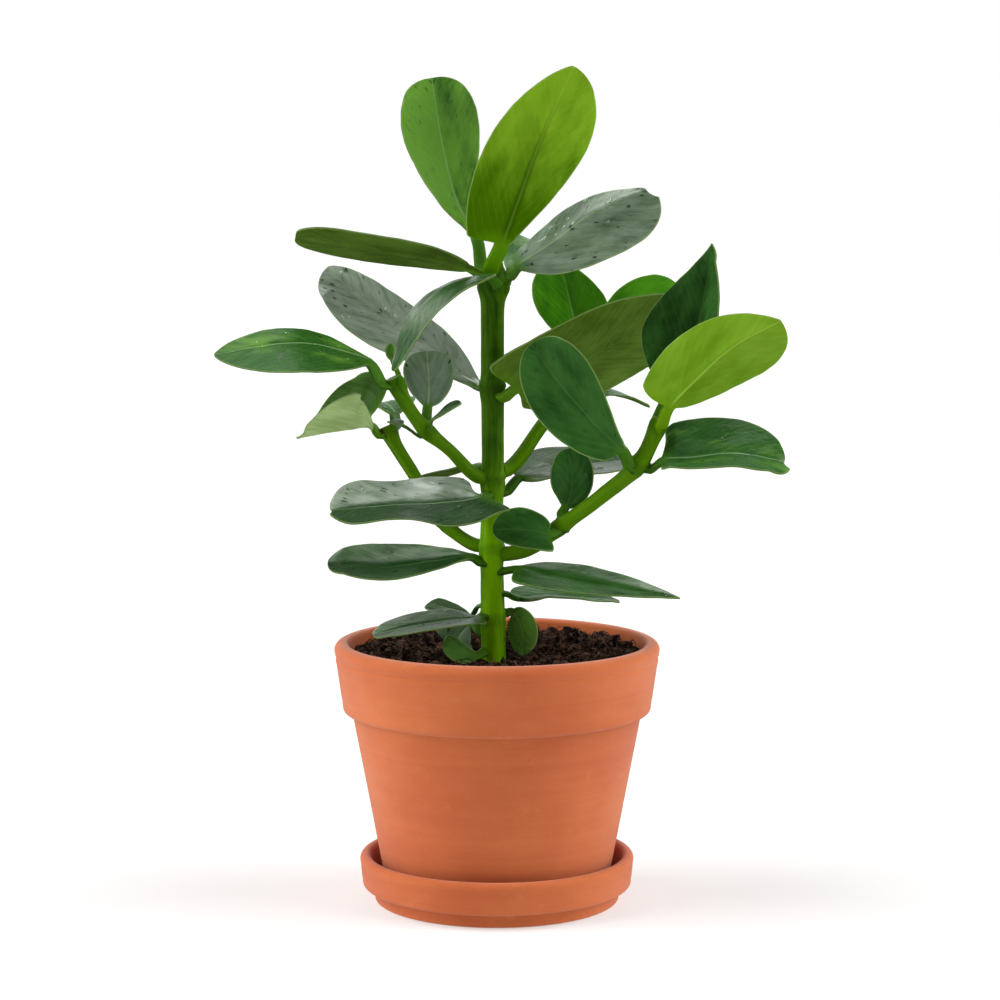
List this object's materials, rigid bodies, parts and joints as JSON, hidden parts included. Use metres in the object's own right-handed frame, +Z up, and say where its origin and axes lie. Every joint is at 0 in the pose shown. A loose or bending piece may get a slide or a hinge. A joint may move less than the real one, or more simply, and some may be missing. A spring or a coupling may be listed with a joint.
{
  "type": "potted clusia",
  "caption": "Branching houseplant with thick glossy paddle-shaped leaves, growing from dark soil in a tapered clay pot that stands on a matching clay saucer.",
  "frame": {"origin": "centre of the saucer's foot on the ground", "axes": "+Z up, +X to the right of the front view, -Y towards the front"},
  "size_m": [0.2536, 0.1566, 0.3811],
  "materials": {
    "terracotta": "matt, unglazed, fired clay",
    "soil": "rough, fibrous, damp peat",
    "stem": "smooth, satin, green",
    "dark_leaf": "glossy, wet, dark green",
    "green_leaf": "satin, mid green",
    "lime_leaf": "satin, light yellow-green"
  },
  "bodies": {
    "root": {"saucer": "terracotta", "pot": "terracotta", "soil": "soil", "main_stem": "stem", "branch_left_upper": "stem", "branch_left_lower": "stem", "branch_right": "stem", "branch_back": "stem", "leaf_crown_front": "lime_leaf", "leaf_crown_back": "green_leaf", "leaf_crown_left": "green_leaf", "leaf_crown_right": "dark_leaf", "leaf_crown_arching": "green_leaf", "leaf_crown_rear": "green_leaf", "leaf_upper_left": "dark_leaf", "leaf_upper_right": "green_leaf", "leaf_middle_left": "dark_leaf", "leaf_middle_right": "dark_leaf", "leaf_middle_rear": "green_leaf", "leaf_lower_left": "dark_leaf", "leaf_lower_right": "dark_leaf", "leaf_base_right": "dark_leaf", "leaf_base_left": "dark_leaf", "leaf_foot_left": "dark_leaf", "leaf_foot_hanging": "dark_leaf", "leaf_foot_front": "lime_leaf", "leaf_foot_right": "dark_leaf", "leaf_foot_rear": "green_leaf", "leaf_left_outer": "dark_leaf", "leaf_left_inner": "dark_leaf", "leaf_left_small_right": "dark_leaf", "leaf_left_small_left": "dark_leaf", "leaf_left_bud": "lime_leaf", "leaf_left_lower_outer": "lime_leaf", "leaf_left_lower_rear": "green_leaf", "leaf_right_front": "dark_leaf", "leaf_right_outer": "dark_leaf", "leaf_right_top_front": "lime_leaf", "leaf_right_top_rear": "dark_leaf", "leaf_right_small_rear": "dark_leaf", "leaf_right_small_front": "dark_leaf", "leaf_back_tall": "green_leaf", "leaf_back_right": "green_leaf", "leaf_back_edge": "dark_leaf", "leaf_back_rear": "green_leaf"}
  },
  "joints": []
}
